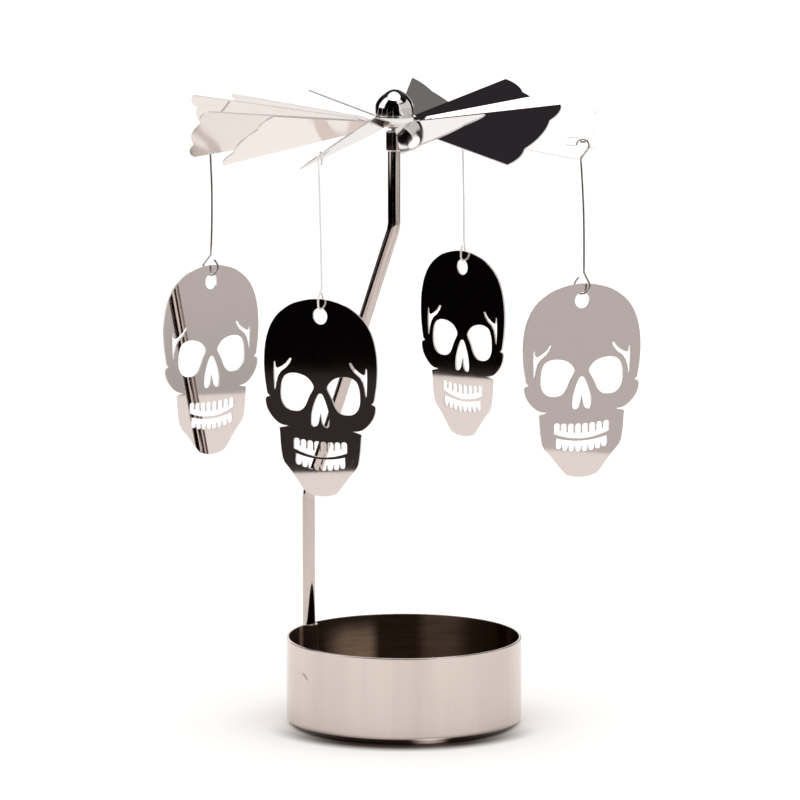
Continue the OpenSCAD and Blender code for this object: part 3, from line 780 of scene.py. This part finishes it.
rotorLook = {
    "height": 153.4 * mm,
    "sheet": 0.4 * mm,
    "bore": 2.52 * mm,
    "hub": 5.8 * mm,
    "neck": 9.2 * mm,
    "neckSpare": 0.3 * mm,  # the fine rows of the twist go this far past the neck
    "neckRows": 12,
    "columns": 8,
    "boreSteps": 6,
    "crest": 52.1 * mm,
    "notchDepth": 1.5 * mm,
    "cornerDrop": 2.4 * mm,
    "notchShare": 0.475,
    "smallCrest": 1.2 * mm,
    "tipSteps": 60,
    "settleSteps": 30,
    "fill": 0.873,
    "blades": 12,
    "pitch": 34.7,  # degrees
    "firstBlade": 14,  # degrees from +X
    # each blade's own bend, as bent by hand: degrees more twist, degrees up from the level
    "trims": [0, -4, 0, -11, -3, 0, 0, 1, 0, -12, 1, 0],
    "lifts": [0, 1.5, 0, -1, -2, 0, -2, -1, 0, 3, 1, 0],
    "holedEvery": 3,
    "firstHoled": 2,
    "hole": 1.9 * mm,
    "web": 1.26 * mm,
    "holeShare": 0.45,
    "holePoints": 40,
    "edge": 0.07 * mm,
    "sharpAngle": 20,
    "weld": 1e-6,
}


def bladeWedge(look):
    # half the angle that a blade fills
    return math.radians(look["fill"] * 180 / look["blades"])


def closedEdges(bm, verts):
    return [bm.edges.get(pair) or bm.edges.new(pair) for pair in zip(verts, verts[1:] + verts[:1])]


def bladeSector(look, holed):
    # a twelfth of the flat sheet with its blade on +X
    wedge = bladeWedge(look)
    half = math.pi / look["blades"]
    slope = math.tan(wedge)
    cornerRadius = look["crest"] - look["cornerDrop"]
    notchRadius = look["crest"] - look["notchDepth"]
    cornerHalf = cornerRadius * slope
    notchHalf = look["notchShare"] * cornerHalf
    bigRadius = (notchHalf ** 2 + look["notchDepth"] ** 2) / (2 * look["notchDepth"])
    chord = math.hypot(notchRadius - cornerRadius, cornerHalf - notchHalf)
    smallRadius = (chord ** 2 / 4 + look["smallCrest"] ** 2) / (2 * look["smallCrest"])
    tilt = math.atan2(notchRadius - cornerRadius, cornerHalf - notchHalf)
    smallBack = smallRadius - look["smallCrest"]
    smallCentre = Vector(((notchRadius + cornerRadius) / 2 - smallBack * math.cos(tilt),
                          (notchHalf + cornerHalf) / 2 - smallBack * math.sin(tilt)))

    def tipReach(across):
        away = abs(across)
        if away < notchHalf:
            return look["crest"] - bigRadius + math.sqrt(bigRadius ** 2 - away ** 2)
        return smallCentre.x + math.sqrt(max(0, smallRadius ** 2 - (away - smallCentre.y) ** 2))

    tip = []
    for angle in spread(-math.pi / 2, math.pi / 2, look["tipSteps"]):
        # where the tip's outline crosses this ray: each step closes half of what is left
        ray = math.sin(angle) * slope
        along = cornerRadius
        for attempt in range(look["settleSteps"]):
            along = (along + tipReach(ray * along)) / 2
        tip.append((along, ray * along))
    bm = bmesh.new()

    def arc(radius, angles):
        return [bm.verts.new((*polar(radius, angle), 0)) for angle in angles]

    root = look["hub"] * math.cos(wedge)
    rows = [[bm.verts.new((along, along * slope * share, 0)) for share in spread(-1, 1, look["columns"])]
            for along in spread(root, look["neck"] + look["neckSpare"], look["neckRows"])]
    for low, high in zip(rows, rows[1:]):
        for corners in zip(low, high, high[1:], low[1:]):
            bm.faces.new(corners)
    # the blade beyond its neck, flat, with or without the hanging hole
    edges = closedEdges(bm, rows[-1] + [bm.verts.new((*point, 0)) for point in tip][::-1])
    if holed:
        side = look["holeShare"] * cornerHalf
        circle = arc(look["hole"], fullTurn(look["holePoints"]))
        for vert in circle:
            vert.co += Vector((tipReach(side) - look["web"] - look["hole"], -side, 0))
        edges += closedEdges(bm, circle)
    bmesh.ops.triangle_fill(bm, use_beauty=True, use_dissolve=False, edges=edges)
    # the flat middle, up to the blade's root
    inner = arc(look["bore"], spread(-half, half, look["boreSteps"]))
    between = (half + wedge) / 2
    outer = arc(look["hub"], (-half, -between)) + rows[0] + arc(look["hub"], (between, half))
    bm.faces.new(inner[::-1] + outer)
    bm.normal_update()
    bmesh.ops.reverse_faces(bm, faces=[face for face in bm.faces if face.normal.z < 0])
    return bpy.data.objects.new("bladeSector", meshOf(bm, "bladeSector"))


def makeRingTree():
    group, known, given, result = newGroup("bladeRing", {
        "Plain blade": "Object", "Holed blade": "Object", "Blades": "Int", "Holed every": "Int",
        "First holed": "Int", "First angle": "Float", "Weld": "Float", "Finish": "Material"}, "Ring")
    nodes, link = group.nodes, group.links.new

    def calc(operation, first, second):
        made = nodes.new("ShaderNodeMath")
        made.operation = operation
        for slot, value in zip(made.inputs, (first, second)):
            if isinstance(value, (int, float)):
                slot.default_value = value
            else:
                link(value, slot)
        return made.outputs[0]

    points = nodes.new("GeometryNodePoints")
    link(given["Blades"], points.inputs["Count"])
    index = nodes.new("GeometryNodeInputIndex").outputs[0]
    angle = calc("ADD", calc("MULTIPLY", index, calc("DIVIDE", math.tau, given["Blades"])),
                 given["First angle"])
    turn = nodes.new("ShaderNodeCombineXYZ")
    link(angle, turn.inputs["Z"])
    toRotation = nodes.new("FunctionNodeEulerToRotation")
    link(turn.outputs[0], toRotation.inputs[0])
    isHoled = calc("COMPARE", calc("MODULO", index, given["Holed every"]), given["First holed"])
    isHoled.node.inputs[2].default_value = 0.1  # whole numbers nearer than this are the same
    join = nodes.new("GeometryNodeJoinGeometry")
    for name, selection in (("Plain blade", calc("SUBTRACT", 1, isHoled)), ("Holed blade", isHoled)):
        info = nodes.new("GeometryNodeObjectInfo")
        link(given[name], info.inputs["Object"])
        place = nodes.new("GeometryNodeInstanceOnPoints")
        link(points.outputs[0], place.inputs["Points"])
        link(selection, place.inputs["Selection"])
        link(info.outputs["Geometry"], place.inputs["Instance"])
        link(toRotation.outputs[0], place.inputs["Rotation"])
        link(place.outputs[0], join.inputs[0])
    realize = nodes.new("GeometryNodeRealizeInstances")
    weld = nodes.new("GeometryNodeMergeByDistance")
    setMaterial = nodes.new("GeometryNodeSetMaterial")
    link(join.outputs[0], realize.inputs[0])
    link(realize.outputs[0], weld.inputs["Geometry"])
    link(given["Weld"], weld.inputs["Distance"])
    link(weld.outputs[0], setMaterial.inputs["Geometry"])
    link(given["Finish"], setMaterial.inputs["Material"])
    link(setMaterial.outputs[0], result["Ring"])
    return group, known


def bentPoint(point, look):
    # a point of the flat ring, where its blade's twist and lift take it
    root = look["hub"] * math.cos(bladeWedge(look))
    pitchTurn = math.tau / look["blades"]
    first = math.radians(look["firstBlade"])
    index = round((math.atan2(point.y, point.x) - first) / pitchTurn)
    turn = Matrix.Rotation(first + index * pitchTurn, 3, "Z")
    local = turn.transposed() @ point
    if local.x < root + look["weld"]:
        return point
    index %= look["blades"]
    share = min(1, (local.x - root) / (look["neck"] - root))
    angle = math.radians(look["pitch"] + look["trims"][index]) * share
    lift = math.radians(look["lifts"][index])
    height = local.y * math.sin(angle)
    along = local.x - look["hub"]
    return turn @ Vector((look["hub"] + along * math.cos(lift) - height * math.sin(lift),
                          local.y * math.cos(angle), along * math.sin(lift) + height * math.cos(lift)))


def makeRotor(look):
    plain, holed = bladeSector(look, False), bladeSector(look, True)
    host = bpy.data.objects.new("rotorHost", bpy.data.meshes.new("rotorHost"))
    for helper in (plain, holed, host):
        scene.collection.objects.link(helper)
    mesh = runGroup(host, *makeRingTree(), {
        "Plain blade": plain, "Holed blade": holed, "Blades": look["blades"],
        "Holed every": look["holedEvery"], "First holed": look["firstHoled"],
        "First angle": math.radians(look["firstBlade"]), "Weld": look["weld"],
        "Finish": finishes["bladeMirror"]})
    for helper in (plain, holed):
        bpy.data.objects.remove(helper)
    for vert in mesh.vertices:
        vert.co = bentPoint(vert.co, look)
    mesh.transform(Matrix.Translation((rotorAxis.x, rotorAxis.y, look["height"])))
    piece = thickened("rotorSheet", mesh, look["sheet"], 0, look["edge"], finishes["bladeMirror"],
                      look["sharpAngle"])
    # only the twisted necks are smooth, the blades are plane
    for face in piece.data.polygons:
        reach = (face.center - rotorAxis).to_2d().length
        face.use_smooth = look["hub"] < reach < look["neck"] + look["neckSpare"]
    return piece


rotorPiece = makeRotor(rotorLook)
finishPiece(rotorPiece, "rotor", "rotor_blades")
print("rotor:", len(rotorPiece.data.polygons))


# hangers: spring wire, with an open hook at both ends

hangerLook = {
    "wire": 0.25 * mm,
    "topRadius": 1.6 * mm,
    "topNeck": 1.6 * mm,
    "lowRadius": 2.0 * mm,
    "lowNeck": 1.3 * mm,
    "end": 1.1 * mm,
    # sideways, to the right of the picture: the wire's bow, and its lean from the upper to the lower hook
    "bow": {"right": 0.33 * mm, "back": 0.12 * mm, "left": 0.42 * mm, "front": 0.05 * mm},
    "lean": {"right": 0.45 * mm, "back": 0.25 * mm, "left": 0.08 * mm, "front": 0.32 * mm},
    # the front and back wires take the lit copy of the wire's finish: painted light
    "finish": {"right": "hangerWire", "back": "hangerWirePaintedLight", "left": "hangerWire",
               "front": "hangerWirePaintedLight"},
    "hookSteps": 40,
    "straightSteps": 12,
    "sides": 16,
}


def hookPath(centre, across, ahead, radius, neck, look):
    # from the free end round the hook to the straight wire, which leaves it along ahead
    rise = radius + neck
    lean = math.degrees(math.acos(radius / rise))
    arc = arcPoints(centre, across, ahead, radius, 90 + lean, 450 - lean, look["hookSteps"])
    crossing = centre + ahead * rise
    tail = arc[0] + (crossing - arc[0]).normalized() * look["end"]
    return [tail, *arc, crossing]


def makeHanger(side, look):
    top, low = jointPlace[f"hanger_{side}_swing"], jointPlace[f"skull_{side}_turn"]
    across = jointAxis[f"hanger_{side}_swing"].cross(up).normalized() * -1
    lowHook = hookPath(low, across, up, look["lowRadius"], look["lowNeck"], look)
    topHook = hookPath(top, across, -up, look["topRadius"], look["topNeck"], look)
    sideways = Vector((1, 0, 0))
    lowHook[-1] += sideways * look["lean"][side]
    topHook[-1] -= sideways * look["lean"][side]
    bow = sideways * look["bow"][side]
    straight = [lowHook[-1].lerp(topHook[-1], share) + bow * math.sin(math.pi * share)
                for share in spread(0, 1, look["straightSteps"])[1:-1]]
    return sweepRod(f"hanger_{side}_wire", lowHook + straight + topHook[::-1], look["wire"], look["sides"],
                    finishes[look["finish"][side]])


for side in sides:
    finishPiece(makeHanger(side, hangerLook), "hanger_" + side, "hanger_" + side)
print("hangers made")


# skulls: flat cut-outs of mirror sheet with slightly rounded cut edges

skullLook = {
    "sheet": 0.5 * mm,
    "edge": 0.06 * mm,
    "weld": 1e-6,
    "alike": 0.999,  # faces that look the front's way by this cosine or more belong to it
}


def makeSkull(side, look):
    # the flat front of the cut-out, given its thickness again and then a rounded edge
    bm = bmesh.new()
    bm.from_mesh(frame["nodes"]["skull_" + side].data)
    bmesh.ops.remove_doubles(bm, verts=bm.verts, dist=look["weld"])
    bm.normal_update()
    front = max(bm.faces, key=lambda face: face.calc_area()).normal.copy()
    others = [face for face in bm.faces if face.normal.dot(front) < look["alike"]]
    bmesh.ops.delete(bm, geom=others, context="FACES")
    loose = [vert for vert in bm.verts if not vert.link_faces]
    bmesh.ops.delete(bm, geom=loose, context="VERTS")
    return thickened(f"skull_{side}_plate", meshOf(bm, "skullHost"), look["sheet"], -1, look["edge"],
                     finishes["skullMirror"], 0)


for side in sides:
    finishPiece(makeSkull(side, skullLook), "skull_" + side, "skull_" + side)
print("skulls made")


# floor: the table top shows in the metal, and the floor under it to the camera alone

stageLook = {
    "tableFront": (-0.45, 0.333),  # distance to the front and half width there
    "tableBack": (0.9, 0.805),
    "drop": 0.05 * mm,
    "beyond": 40,
    "colour": (0.93, 0.905, 0.885),
    # the table top as the metal shows it, near the object and away from it; darker away from it as painted
    # shade
    "near": 0.93,
    "far": 0.79,
    "fade": (0.13, 0.40),
    "mottle": (30, 3, 0.5),  # scale, detail and roughness of a faint noise
    "rough": (0.88, 0.06),
    "specular": 0.2,
    "around": 96,
    # the close shadow in front of the foot: from and to which radius, and how dark
    "shadow": (31 * mm, 38 * mm),
    "shade": (0.07, 0.047, 0.036),
    "facing": (0.1, 0.92),  # from the side to the front, where the shadow sets in and is full
    # a painted glint: a glowing place in that shadow, which the foot mirrors as a painted highlight:
    # angle and its half width, then radius and the same
    "gap": (-76.3, 12, 31.4 * mm, 4.2 * mm),
    "gapSoft": (0.25, 1.1),
    "gapGlow": (0.5, 0.475, 0.46),
}


def floorMaterial(name, look, near, far, mirrored):
    material, tree = newMaterial(name)
    place = tree.node("ShaderNodeTexCoord", output="Object")
    x, y, z = tree.parts(place)
    away = lengthOf(x, y)
    # painted shade: the table darkens away from the object
    colour = tree.mixColour(tree.smooth(away, *look["fade"]), rgba(look["colour"], near),
                            rgba(look["colour"], far))
    # behind the foot there is less shadow, as the light comes from behind
    facing = tree.smooth(y / away.math("MAXIMUM", mm) * -1, *look["facing"])
    close = (1 - tree.smooth(away, *look["shadow"])) * facing
    paintedGlow = {}
    # the painted glint: only the mirrored table glows there, for a painted highlight on the foot
    if mirrored:
        angle, wide, radius, deep = look["gap"]
        aside = (degreesOf(x, y) - angle) * (1 / wide)
        along = (away - radius) * (1 / deep)
        shaded = tree.smooth(lengthOf(aside, along), *look["gapSoft"])
        close = close * shaded
        paintedGlow = {"Emission Color": tree.mixColour(shaded, rgba(look["gapGlow"]), rgba((0, 0, 0))),
                "Emission Strength": 1}
    colour = tree.mixColour(close, colour, rgba(look["shade"]))
    rough, mottled = look["rough"]
    shader = tree.node("ShaderNodeBsdfPrincipled", {}, {
        "Base Color": colour, "Roughness": rough + tree.noise(place, *look["mottle"]) * mottled,
        "Specular IOR Level": look["specular"], **paintedGlow})
    tree.node("ShaderNodeOutputMaterial", {}, {"Surface": shader})
    return material


def makeFloor(look):
    (front, frontHalf), (back, backHalf) = look["tableFront"], look["tableBack"]
    top, beyond = bmesh.new(), bmesh.new()
    top.faces.new([top.verts.new((x, y, 0)) for x, y in
                   ((-frontHalf, front), (frontHalf, front), (backHalf, back), (-backHalf, back))])
    spin(beyond, [(0, -look["drop"]), (look["beyond"], -look["drop"])], (0, 0), look["around"])
    for name, bm, near, far in (("tableTop", top, look["near"], look["far"]),
                                ("tableBeyond", beyond, 1, 1)):
        mirrored = name == "tableTop"
        piece = addPiece(name, bm, [floorMaterial(name, look, near, far, mirrored)])
        if piece.data.polygons[0].normal.z < 0:
            piece.data.flip_normals()
        piece.visible_camera = piece.visible_diffuse = piece.visible_shadow = not mirrored
        piece.visible_glossy = mirrored


makeFloor(stageLook)


# studio light: cards round the object, as the metal sees them, and a soft light from above on the floor

studioLook = {
    "plain": 1.15,
    # the light on the floor: strength at the horizon, what is added at the top, and how late that sets in
    "above": (0.42, 2.2, 3),
    "dark": (0.0015, 0.001, 0.001),
    "cards": [
        # middle and half width in degrees from +X, lowest and highest elevation, softness, colour
        {"at": 200, "wide": 64, "low": -30, "high": -8.45, "soft": 0.08, "colour": (0.036, 0.030, 0.029)},
        {"at": 90, "wide": 70, "low": 36, "high": 61, "soft": 3, "colour": (0.027, 0.024, 0.029)},
        {"at": -12, "wide": 44, "low": -30, "high": 34, "soft": 4, "colour": (0.585, 0.565, 0.56)},
        {"at": -12, "wide": 44, "low": -1, "high": 34, "soft": 4, "colour": (0.74, 0.72, 0.70)},
        {"at": -8, "wide": 18, "low": -30, "high": -8.3, "soft": 0.9, "colour": (0.45, 0.45, 0.45)},
        {"at": -55, "wide": 3, "low": -6, "high": 44, "soft": 1.5, "colour": (1.1, 1.1, 1.1)},
        {"at": 71, "wide": 12, "low": 3, "high": 36, "soft": 3, "colour": (0.180, 0.174, 0.170)},
        {"at": 103, "wide": 19, "low": 3, "high": 33, "soft": 3, "colour": (1.04, 1.03, 1.03)},
        {"at": 90, "wide": 34, "low": -30, "high": 3, "soft": 3, "colour": (1.2, 1.17, 1.15)},
        {"at": 188, "wide": 21, "low": 2, "high": 60, "soft": 4, "colour": (1.4, 1.4, 1.4)},
        {"at": 318, "wide": 24, "low": 42, "high": 62, "soft": 4, "colour": (1.0, 0.98, 0.96)},
        {"at": 0, "wide": 181, "low": 62, "high": 95, "soft": 3, "colour": (2.0, 2.0, 2.0)},
    ],
}


def makeStudio(look):
    world = bpy.data.worlds.new("studio")
    scene.world = world
    world.use_nodes = True
    world.cycles.sampling_method = "NONE"
    tree = Tree(world.node_tree)
    direction = tree.node("ShaderNodeTexCoord", output="Generated")
    x, y, z = tree.parts(direction)
    flat = lengthOf(x, y).math("MAXIMUM", 1e-4)  # never 0, as it divides
    elevation = degreesOf(flat, z)
    colour = None
    for card in look["cards"]:
        at, soft = math.radians(card["at"]), card["soft"]
        mask = tree.smooth(elevation, card["low"] - soft, card["low"] + soft)
        mask = mask * (1 - tree.smooth(elevation, card["high"] - soft, card["high"] + soft))
        if card["wide"] < 180:  # else it goes all round
            facing = (x * math.cos(at) + y * math.sin(at)) / flat
            away = facing.math("MINIMUM", 1).math("MAXIMUM", -1).math("ARCCOSINE") * (180 / math.pi)
            mask = mask * (1 - tree.smooth(away, card["wide"] - soft, card["wide"] + soft))
        colour = tree.mixColour(mask, colour or rgba(look["dark"]), rgba(card["colour"]))
    low, rise, late = look["above"]
    strength = low + rise * z.math("MAXIMUM", 0).math("POWER", late)
    white = (1, 1, 1, 1)
    panorama = tree.node("ShaderNodeBackground", {}, {"Color": colour, "Strength": 1})
    plain = tree.node("ShaderNodeBackground", {}, {"Color": white, "Strength": look["plain"]})
    above = tree.node("ShaderNodeBackground", {}, {"Color": white, "Strength": strength})
    isGlossy = tree.node("ShaderNodeLightPath", output="Is Glossy Ray")
    isDiffuse = tree.node("ShaderNodeLightPath", output="Is Diffuse Ray")
    seen = tree.node("ShaderNodeMixShader", {}, {0: isDiffuse, 1: plain, 2: above})
    mixed = tree.node("ShaderNodeMixShader", {}, {0: isGlossy, 1: seen, 2: panorama})
    tree.node("ShaderNodeOutputWorld", {}, {"Surface": mixed})


makeStudio(studioLook)
scene.view_settings.view_transform = "Standard"
print("studio made")
